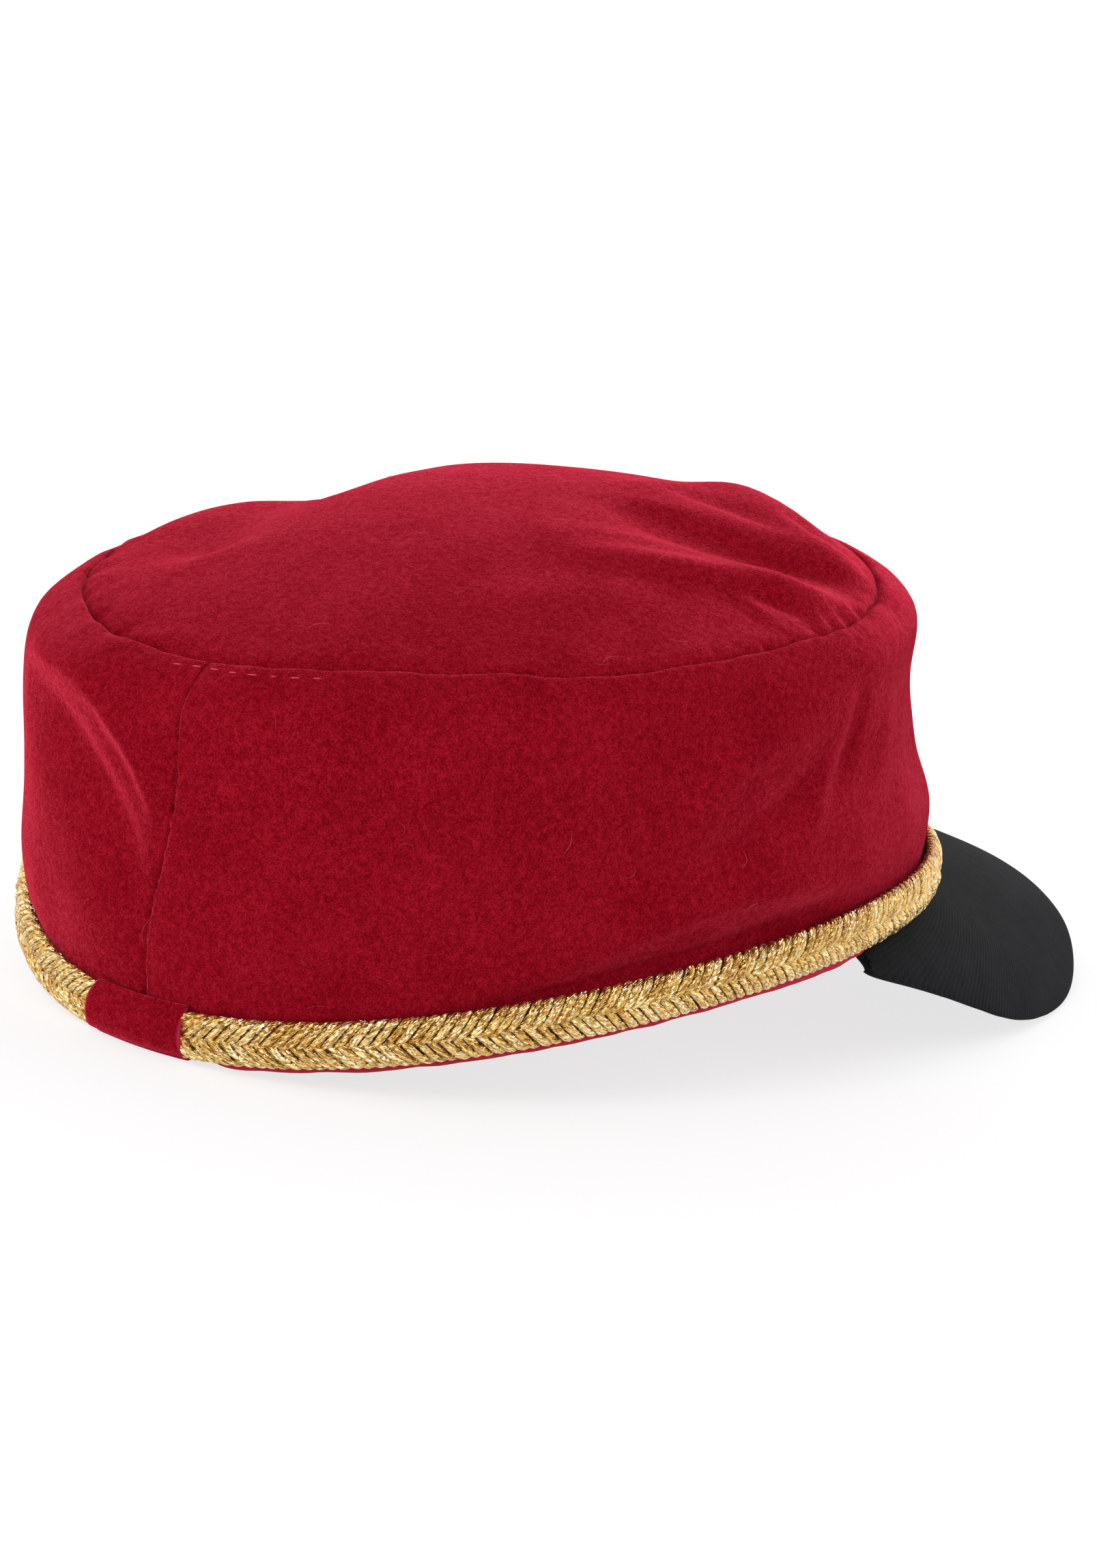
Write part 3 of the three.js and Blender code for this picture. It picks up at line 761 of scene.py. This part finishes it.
braid_path, path_length = make_path()
print("braid path is", round(path_length / MM), "mm long")

# %% [markdown]
# ## One strand of gimp
# A strand is a short round cord wound with fine metal thread. It starts under the braid's middle and
# curls over one edge down to the felt, as wide as the step between strands. Its lean is left to the node
# tree, which reads the distance along the strand that every point stores. A UV map counts that distance
# and the way round, for the winding.

# %% Strand
STRAND_PITCH = 2.25
STRAND_SIDES, STRAND_RINGS = 8, 8
STRAND_HALF_WIDTH, STRAND_HALF_DEPTH = 1.24, 1.0
STRAND_SQUARENESS = 0.9  # 1 is an ellipse, less is squarer
STRAND_START, STRAND_END = math.radians(-8), math.radians(89)
BRAID_ROUNDNESS = 0.6
MIDDLE_DIP, MIDDLE_DIP_WIDTH = 0.5, 0.8


def braid_outline(angle):
    """Across the braid, and out from the wall."""
    out = BRAID_DEPTH * max(math.cos(angle), 0.001) ** BRAID_ROUNDNESS
    return Vector((BRAID_HEIGHT / 2 * math.sin(angle), out))


def strand_centre(angle):
    ahead = braid_outline(angle + 0.01) - braid_outline(angle - 0.01)
    inwards = Vector((ahead.y, -ahead.x)).normalized()
    centre = braid_outline(angle) + inwards * STRAND_HALF_DEPTH
    centre.y -= MIDDLE_DIP * math.exp(-((centre.x / MIDDLE_DIP_WIDTH) ** 2))
    return centre


def strand_ring(share, side):
    """The ring of points at a share of the strand's length, and its middle."""
    angle = STRAND_START + (STRAND_END - STRAND_START) * share
    centre = strand_centre(angle)
    ahead = strand_centre(angle + 0.02) - strand_centre(angle - 0.02)
    normal = Vector((-ahead.y, ahead.x)).normalized()
    fat = math.sin(math.pi / 2 * min(1, 0.35 + 6 * min(share, 1 - share)))
    ring = []
    for k in range(STRAND_SIDES):
        around = 2 * math.pi * k / STRAND_SIDES
        c, d = (math.copysign(abs(f(around)) ** STRAND_SQUARENESS, f(around)) for f in (math.cos, math.sin))
        wide = STRAND_HALF_WIDTH * fat * c
        deep = centre + normal * STRAND_HALF_DEPTH * fat * d
        ring.append(Vector((wide, side * deep.x, deep.y)) * MM)
    return ring, centre


def tube(name, points, sides, order=1):
    """A closed tube, and the ring and place of each corner of its faces."""
    rings = len(points) // sides - 1
    faces = [[(r, k), (r, k + 1), (r + 1, k + 1), (r + 1, k)] for r in range(rings) for k in range(sides)]
    faces += [[(r, k) for k in range(sides)][::way] for r, way in ((0, -1), (rings, 1))]
    faces = [face[::order] for face in faces]
    mesh = new_mesh(name, points, [[sides * r + k % sides for r, k in face] for face in faces])
    return mesh, sum(faces, [])


def strand_mesh(name, side):
    """side is 1 for the upper row and -1 for the lower one."""
    points, lengths, before = [], [], None
    for r in range(STRAND_RINGS + 1):
        ring, centre = strand_ring(r / STRAND_RINGS, side)
        points += ring
        lengths.append(lengths[-1] + (centre - before).length if lengths else centre.x)
        before = centre
    mesh, corners = tube(name, points, STRAND_SIDES, -side)
    uvs = [(lengths[r], k / STRAND_SIDES) for r, k in corners]
    mesh.uv_layers.new(name="strand_uv").data.foreach_set("uv", np.ravel(uvs))
    mesh.shade_smooth()
    store(mesh, "along", np.repeat(lengths, STRAND_SIDES) * MM)
    return add_object(name, mesh)


strands = {side: strand_mesh(name, side) for name, side in (("strand_upper", 1), ("strand_lower", -1))}
print("a strand has", len(strands[1].data.polygons), "faces")

# %% [markdown]
# ## Trees that make geometry
# Strands, stitches and fibres are each one small thing laid many times. A loop could lay them, but a tree
# of Geometry Nodes is faster, and with named inputs one tree can lay different things.

# %% Helpers for Geometry Nodes
class Growth(Wiring):
    """A Geometry Nodes tree with named inputs, each with a kind and a value."""

    def __init__(self, name, inputs):
        super().__init__(bpy.data.node_groups.new(name, "GeometryNodeTree"))
        sockets = self.tree.interface
        for way in ("INPUT", "OUTPUT"):
            sockets.new_socket("Geometry", in_out=way, socket_type="NodeSocketGeometry")
        for label, kind, value in (*inputs, ("Seed", "Int", 1), ("Material", "Material", None)):
            socket = sockets.new_socket(label, in_out="INPUT", socket_type="NodeSocket" + kind)
            if value is not None:
                socket.default_value = value
        self.put = self.node("NodeGroupInput").outputs
        self.end = self.node("NodeGroupOutput")

    def read(self, name, kind="FLOAT"):
        made = self.node("GeometryNodeInputNamedAttribute", {"Name": name}, {"data_type": kind})
        return made.outputs["Attribute"]

    def random(self, low, high, seed):
        names, settings = ("Min", "Max", "Seed"), {"data_type": "FLOAT"}
        return self.switched("FunctionNodeRandomValue", names, (low, high, seed), settings)

    def keep(self, geometry, name, value, **settings):
        joined = {"Geometry": geometry, "Name": name, "Value": value}
        return self.node("GeometryNodeStoreNamedAttribute", joined, settings)

    def turned(self, rotation, **angles):
        joined = {"Rotation": rotation, "Rotate By": self.node("ShaderNodeCombineXYZ", angles)}
        return self.node("FunctionNodeRotateRotation", joined, {"rotation_space": "LOCAL"})

    def lay(self, thing, points, rotation, scale):
        """A copy of an object at each point."""
        source = self.node("GeometryNodeObjectInfo", {"Object": thing, "As Instance": True})
        joined = {"Points": points, "Instance": source.outputs["Geometry"]}
        return self.node("GeometryNodeInstanceOnPoints", {**joined, "Rotation": rotation, "Scale": scale})

    def finish(self, geometry, material):
        """Real geometry with its material, as the tree's result."""
        real = self.node("GeometryNodeRealizeInstances", {"Geometry": geometry})
        painted = self.node("GeometryNodeSetMaterial", {"Geometry": real, "Material": material})
        self.join(painted, self.end.inputs["Geometry"])
        return self.tree


def grow(piece, tree, values):
    """Runs a tree on a piece with these inputs and keeps the result."""
    modifier = piece.modifiers.new(tree.name, "NODES")
    modifier.node_group = tree
    for socket in tree.interface.items_tree:
        if socket.in_out == "INPUT" and socket.name in values:
            modifier[socket.identifier] = values[socket.name]
    return plain(piece)


# %% [markdown]
# ## Laying the strands
# The tree makes one point of the path for each strand and turns a copy of the strand out of the wall,
# with a small random turn and size, or the rows would look machined. Once the copies are real, each point
# slides along the braid by the lean times its distance from the middle.

# %% Braid tree
def braid_tree():
    w = Growth("lay_strands", [
        ("Strand", "Object", None), ("Count", "Int", 240), ("Half step", "Float", 0.0),
        ("Uneven turn", "Float", 0.06), ("Uneven size", "Float", 0.06),
    ])
    put = w.put
    curve = w.node("GeometryNodeMeshToCurve", {"Mesh": put["Geometry"]})
    points = w.node("GeometryNodeResampleCurve", {"Curve": curve, "Count": put["Count"]})
    tangent = w.node("GeometryNodeInputTangent").outputs[0]
    slide = w.vector("SCALE", tangent, Scale=put["Half step"])
    shifted = w.node("GeometryNodeSetPosition", {"Geometry": points, "Offset": slide})
    kept = w.keep(shifted, "ahead", tangent, data_type="FLOAT_VECTOR")
    aim = w.node(
        "FunctionNodeAxesToRotation",
        {"Primary Axis": w.read("out", "FLOAT_VECTOR"), "Secondary Axis": tangent},
        {"primary_axis": "Z", "secondary_axis": "X"},
    )
    wobble = w.times(put["Uneven turn"], w.random(-1.0, 1.0, put["Seed"]))
    other_seed = w.plus(put["Seed"], 100)
    size = w.plus(1.0, w.times(put["Uneven size"], w.random(-1.0, 1.0, other_seed)))
    scale = w.node("ShaderNodeCombineXYZ", {"X": size, "Y": 1.0, "Z": size})
    laid = w.lay(put["Strand"], kept, w.turned(aim, Z=wobble), scale)
    toned = w.keep(laid, "tone", w.random(0.0, 1.0, put["Seed"]), data_type="FLOAT", domain="INSTANCE")
    real = w.node("GeometryNodeRealizeInstances", {"Geometry": toned})
    reach = w.times(w.read("lean"), w.read("along"))
    lean = w.vector("SCALE", w.read("ahead", "FLOAT_VECTOR"), Scale=reach)
    leaned = w.node("GeometryNodeSetPosition", {"Geometry": real, "Offset": lean})
    return w.finish(leaned, put["Material"])


lay_strands = braid_tree()
print("tree", lay_strands.name, "has", len(lay_strands.nodes), "nodes")

# %% [markdown]
# ## Felt
# Wool felt is dyed through, but its nap stands in small clumps with darker hollows between them. Three
# sizes of noise make that: broad clouds of random tone, clumps and single fibres. The colour is darker
# where the nap's bump is low, which is painted shade in the hollows. Sheen lights the nap where it is seen
# along the surface, the soft bright edge of all felt. An edge that was cut is made paler and pinker.

# %% Felt material
def felt_material():
    p = Paint("crimson_felt", {
        "Roughness": 1.0, "Specular IOR Level": 0.0, "Sheen Weight": 1.0, "Sheen Roughness": 0.31,
    })
    clouds = p.pattern(16 * MM)
    clumps = p.pattern(1.3 * MM)
    grain = p.pattern(0.32 * MM, 2, 0.7)
    nap = p.blend(clumps, 0.28, grain, 0.72)
    shade = p.blend(nap, 0.9, clouds, 0.1)
    # painted shade: the colour is darker where the nap's bump is low, in the hollows between clumps
    colour = p.ramp(
        shade,
        (0.38, (0.124, 0.0011, 0.0038)),
        (0.50, (0.214, 0.0028, 0.0092)),
        (0.63, (0.320, 0.0080, 0.0200)),
    )
    tint = p.ramp(
        shade,
        (0.38, (0.66, 0.022, 0.052)),
        (0.50, (1.00, 0.054, 0.110)),
        (0.63, (1.00, 0.146, 0.235)),
    )
    p.join(tint, p.shader.inputs["Sheen Tint"])
    # the cut edges of the hem and the tab are made paler and pinker
    colour = p.mix(p.times(p.stored("cut"), 0.6), colour, (0.52, 0.045, 0.085))
    return p.finish(colour, Normal=p.bump(nap, 0.3 * MM, 0.8))


felt = felt_material()
for piece in (felt_wall, felt_top, felt_tab):
    cover(piece, felt)
print("felt on", felt_wall.name, felt_top.name, felt_tab.name)

# %% [markdown]
# ## Loose fibres
# A few long fibres, bent or curled, lie loose on the felt. One tree scatters them: it puts points on the
# faces that look outwards and lays a hair of random turn and size on each.

# %% Fibres
LINT_PER_METRE = 700.0  # of each shape, on a square metre
LINT_SEED = 20


def hair_mesh(name, length, bend, lift, thickness, steps):
    """A hair along X that rises to its middle and turns by bend in all."""
    points = []
    for i in range(steps + 1):
        share = i / steps
        angle = bend * (share - 0.5)
        reach = length * math.sin(angle) / bend
        aside = length * (1 - math.cos(angle)) / bend
        wide = thickness * (0.25 + math.sin(math.pi * (0.15 + 0.7 * share)) * 0.75)
        for k in range(3):
            around = 2 * math.pi * k / 3
            up = lift * math.sin(math.pi * share) + wide * math.sin(around)
            points.append(Vector((reach, aside + wide * math.cos(around), up)) * MM)
    return add_object(name, tube(name, points, 3)[0])


def fibre_tree():
    w = Growth("scatter_fibres", [
        ("Hair", "Object", None), ("Per square metre", "Float", LINT_PER_METRE),
        ("Smallest", "Float", 0.3), ("Largest", "Float", 1.2), ("Tilt", "Float", 0.1),
    ])
    put = w.put
    spread = w.node("GeometryNodeDistributePointsOnFaces", {
        "Mesh": put["Geometry"], "Density": put["Per square metre"], "Seed": put["Seed"],
        "Selection": w.math("GREATER_THAN", w.read("outer"), 0.35),
    })
    turn = w.random(0.0, 2 * math.pi, put["Seed"])
    tilt = w.times(put["Tilt"], w.random(-1.0, 1.0, w.plus(put["Seed"], 5)))
    rotation = w.turned(spread.outputs["Rotation"], Y=tilt, Z=turn)
    size = w.random(put["Smallest"], put["Largest"], w.plus(put["Seed"], 9))
    return w.finish(w.lay(put["Hair"], spread.outputs["Points"], rotation, size), put["Material"])


def lint_material():
    p = Paint("lint", {"Roughness": 0.9, "Specular IOR Level": 0.0})
    return p.finish(p.ramp(p.pattern(2 * MM), (0.35, (0.42, 0.077, 0.098)), (0.65, (0.60, 0.11, 0.14))))


scatter_fibres = fibre_tree()
hairs = {
    "curled": hair_mesh("curled_hair", 5.5, 3.4, 0.4, 0.025, 10),
    "bent": hair_mesh("bent_hair", 4.5, 1.1, 0.3, 0.025, 6),
}
lint = lint_material()
lints = []
for part, felt_piece in (("wall", felt_wall), ("top", felt_top)):
    for shape, hair in hairs.items():
        fibres = add_object(f"{shape}_lint_{part}", felt_piece.data.copy())
        values = {"Hair": hair, "Seed": LINT_SEED + len(lints), "Material": lint}
        lints.append(describe(grow(fibres, scatter_fibres, values)))
for hair in hairs.values():
    bpy.data.objects.remove(hair)

# %% [markdown]
# ## Gimp
# The strands are wound with flat metal thread. Every turn tilts its own way, so the light breaks into
# sparks. A model of each turn would be far too heavy. Instead, the winding is a ripple along the strand's
# UV map, broken up by cells that stand for single turns, and each strand has its own tone.

# %% Gimp material
WIND_PITCH = 0.32  # millimetres along the strand
FACETS_ROUND = 20  # glinting parts of one turn
FACET_TILT = 1.1


def gimp_material():
    p = Paint("gold_gimp", {"Metallic": 1.0})
    uv = p.node("ShaderNodeUVMap", settings={"uv_map": "strand_uv"})
    parts = p.node("ShaderNodeSeparateXYZ", {"Vector": uv}).outputs
    tone = p.stored("tone")
    slant = p.times(parts["Y"], 9.0)
    wind = p.plus(p.math("DIVIDE", parts["X"], WIND_PITCH), slant)
    turns, apart = p.times(parts["Y"], FACETS_ROUND), p.times(tone, 97.0)
    place = p.node("ShaderNodeCombineXYZ", {"X": wind, "Y": turns, "Z": apart})
    facets = p.node("ShaderNodeTexVoronoi", {"Vector": place, "Scale": 1.0, "Randomness": 0.8})
    random = facets.outputs["Color"]
    pick = p.node("ShaderNodeSeparateColor", {"Color": random})
    surface = p.node("ShaderNodeNewGeometry").outputs["Normal"]
    tilt = p.vector("SCALE", p.vector("SUBTRACT", random, (0.5, 0.5, 0.5)), Scale=FACET_TILT)
    tilted = p.vector("NORMALIZE", p.vector("ADD", surface, tilt))
    ripple = p.math("SINE", p.times(wind, 2 * math.pi))
    normal = p.bump(ripple, 0.05 * MM, 0.5, Normal=tilted)
    side = p.math("ABSOLUTE", p.math("COSINE", p.times(parts["Y"], 2 * math.pi)))
    shade = p.blend(pick.outputs[1], 0.75, tone, 0.25)
    colour = p.ramp(
        shade,
        (0.05, (0.28, 0.10, 0.02)),
        (0.35, (0.63, 0.35, 0.08)),
        (0.65, (0.88, 0.59, 0.19)),
        (0.88, (1.00, 0.92, 0.60)),
    )
    # painted shade: each strand darkens along its sides, where it meets its neighbours and shade falls
    painted_gap_shade = p.ramp(side, (0.7, 1.0), (0.96, 0.5))
    colour = p.mix(1.0, colour, painted_gap_shade, "MULTIPLY")
    rough = p.plus(0.2, p.times(pick.outputs[2], 0.25))
    return p.finish(colour, Normal=normal, Roughness=rough)


gimp = gimp_material()
print("gimp winding every", WIND_PITCH, "mm")

# %% [markdown]
# ## The whole braid
# Two rows of strands, one half a step ahead, lie on a core: the solid, drawn in to make room and painted
# dark brown as the shade in the gaps between the strands. The tab presses the rows flat where it crosses
# them, which is done last, point by point.

# %% Braid strands and core
PRESSED_FROM, PRESSED_TO = 7.1, 8.0  # degrees from the tab's middle, fully pressed and free
PRESSED_HEIGHT, PRESSED_DEPTH = 0.74, 0.66


def press_under_tab(piece):
    points = level_points(piece)
    turn = turn_of(points)
    pressed = 1 - smoothstep(np.abs(turn - TAB_TURN), PRESSED_FROM, PRESSED_TO)
    points[:, 2] -= (points[:, 2] - braid_middle(turn)) * pressed * (1 - PRESSED_HEIGHT)
    draw_in(points, past_oval(points) * pressed * (1 - PRESSED_DEPTH))
    set_level_points(piece, points)


def draw_in(points, distance):
    """Moves points level towards the cap's axis."""
    points[:, :2] *= (1 - distance / np.hypot(points[:, 0], points[:, 1]))[:, None]


def make_row(name, side, half_step, seed):
    row = add_object(name, braid_path.copy())
    grow(row, lay_strands, {
        "Strand": strands[side], "Count": round(path_length / MM / STRAND_PITCH),
        "Half step": half_step * STRAND_PITCH * MM, "Seed": seed, "Material": gimp,
    })
    press_under_tab(row)
    row.data.shade_smooth()
    return describe(row)


def make_core():
    """The braid's body under its strands, painted dark as the shade between them."""
    core = soft_copy("braid", "braid_core", 1)
    points = level_points(core)
    middle = braid_middle(turn_of(points))
    draw_in(points, np.clip(past_oval(points) - 0.4, 0, None) * CORE_SHARE)
    points[:, 2] = middle + (points[:, 2] - middle) * (1 - CORE_SHARE * 0.6)
    set_level_points(core, points)
    return core


CORE_SHARE = 0.28  # of the braid's depth that the strands take
braid_upper = make_row("braid_upper", 1, 0.0, 11)
braid_lower = make_row("braid_lower", -1, 0.5, 12)
braid_core = make_core()


def core_shade_material():
    p = Paint("braid_shade", {"Metallic": 0.3, "Roughness": 0.7})
    threads = p.pattern(0.4 * MM)
    # painted shade: the core is dark brown, so the gaps between strands look shaded
    colour = p.ramp(threads, (0.35, (0.05, 0.02, 0.006)), (0.65, (0.20, 0.10, 0.03)))
    return p.finish(colour, Normal=p.bump(threads, 0.3 * MM))


cover(braid_core, core_shade_material())
for strand in strands.values():
    bpy.data.objects.remove(strand)

# %% [markdown]
# ## Stitches
# Topstitching holds the seam's allowance down, and a few stitches show in the nap. The braid's tree lays
# these too, along a short path that hugs the wall.

# %% Stitches
STITCH_TURNS = (177.2, 200)
STITCH_LENGTH, STITCH_PITCH = 1.7, 3.6


def stitch_path():
    turns = np.linspace(*STITCH_TURNS, 24)
    heights = 74.1 + 0.09 * (turns - 178)
    start, end = (move(on_oval(turns, out, heights), LEVEL_TO_FRAME) for out in (20, -60))
    hits = [felt_wall.ray_cast(Vector(a), Vector(b) - Vector(a)) for a, b in zip(start, end)]
    points = [place + out * 0.02 * MM for _, place, out, _ in hits]
    length = sum((b - a).length for a, b in zip(points, points[1:]))
    mesh = path_mesh("stitch_path", points, [out for _, _, out, _ in hits], len(points) - 1)
    return mesh, round(length / MM / STITCH_PITCH)


def stitch_mesh():
    work = bmesh.new()
    bmesh.ops.create_uvsphere(work, u_segments=8, v_segments=4, radius=0.5 * STITCH_LENGTH * MM)
    bmesh.ops.scale(work, vec=(1, 0.14, 0.12), verts=work.verts)
    mesh = bpy.data.meshes.new("stitch")
    work.to_mesh(mesh)
    work.free()
    mesh.shade_smooth()
    return add_object("stitch", mesh)


path, count = stitch_path()
stitches = add_object("topstitch", path)
stitch = stitch_mesh()
thread = Paint("thread", {"Roughness": 0.6, "Specular IOR Level": 0.3})
tones = thread.pattern(0.3 * MM)
thread.finish(thread.ramp(tones, (0.4, (0.46, 0.020, 0.045)), (0.6, (0.72, 0.080, 0.120))))
grow(stitches, lay_strands, {
    "Strand": stitch, "Count": count, "Uneven turn": 0.2, "Uneven size": 0.3,
    "Seed": 5, "Material": thread.material,
})
bpy.data.objects.remove(stitch)
describe(stitches)

# %% [markdown]
# ## Visor cloth
# The black cloth hardly shines, so it must not be pure black: a grey nap, a few specks of lint and fine
# ribs keep it from looking like a hole. The ribs follow the stored distance from the hem and fade out.

# %% Visor material
RIB_PITCH = 0.63  # millimetres


def visor_material():
    p = Paint("black_cloth", {
        "Roughness": 0.95, "Specular IOR Level": 0.05, "Sheen Weight": 0.03, "Sheen Roughness": 0.5,
        "Sheen Tint": (0.8, 0.85, 0.9, 1),
    })
    away = p.stored("from_hem")
    ribs = p.math("SINE", p.times(away, 2 * math.pi / RIB_PITCH))
    near = p.ramp(p.math("DIVIDE", away, 60.0), (0.1, 1.0), (0.6, 0.15))
    nap = p.pattern(0.5 * MM, 3, 0.7)
    clouds = p.pattern(7 * MM, 3)
    height = p.plus(p.times(p.times(ribs, near), 0.25), nap)
    shade = p.blend(nap, 0.5, clouds, 0.5)
    colour = p.ramp(shade, (0.35, (0.004, 0.004, 0.0045)), (0.65, (0.010, 0.010, 0.011)))
    lint = p.ramp(p.pattern(0.6 * MM, 1), (0.76, 0.0), (0.82, 0.5))
    colour = p.mix(lint, colour, (0.08, 0.08, 0.09))
    return p.finish(colour, Normal=p.bump(height, 0.35 * MM, 0.8))


cover(visor_cloth, visor_material())
print("visor cloth with ribs every", RIB_PITCH, "mm")

# %% [markdown]
# ## One body
# Every piece rides on the cap's one body, and the table lists its material slot and the solid that it
# stands for, which is hidden. Cloth may not grow past the solids.

# %% Ride, replace and finish
PIECES = (
    (felt_wall, "felt", "crown_wall"),
    (felt_top, "felt", "crown_top"),
    (felt_tab, "felt", "back_tab"),
    (braid_core, "braid", "braid"),
    (braid_upper, "braid", None),
    (braid_lower, "braid", None),
    (visor_cloth, "visor_cloth", "visor"),
    (stitches, "felt", None),
    *((fibres, "felt", None) for fibres in lints),
)
for piece, slot, solid in PIECES:
    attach(piece, "root")
    if solid:
        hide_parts(solid)
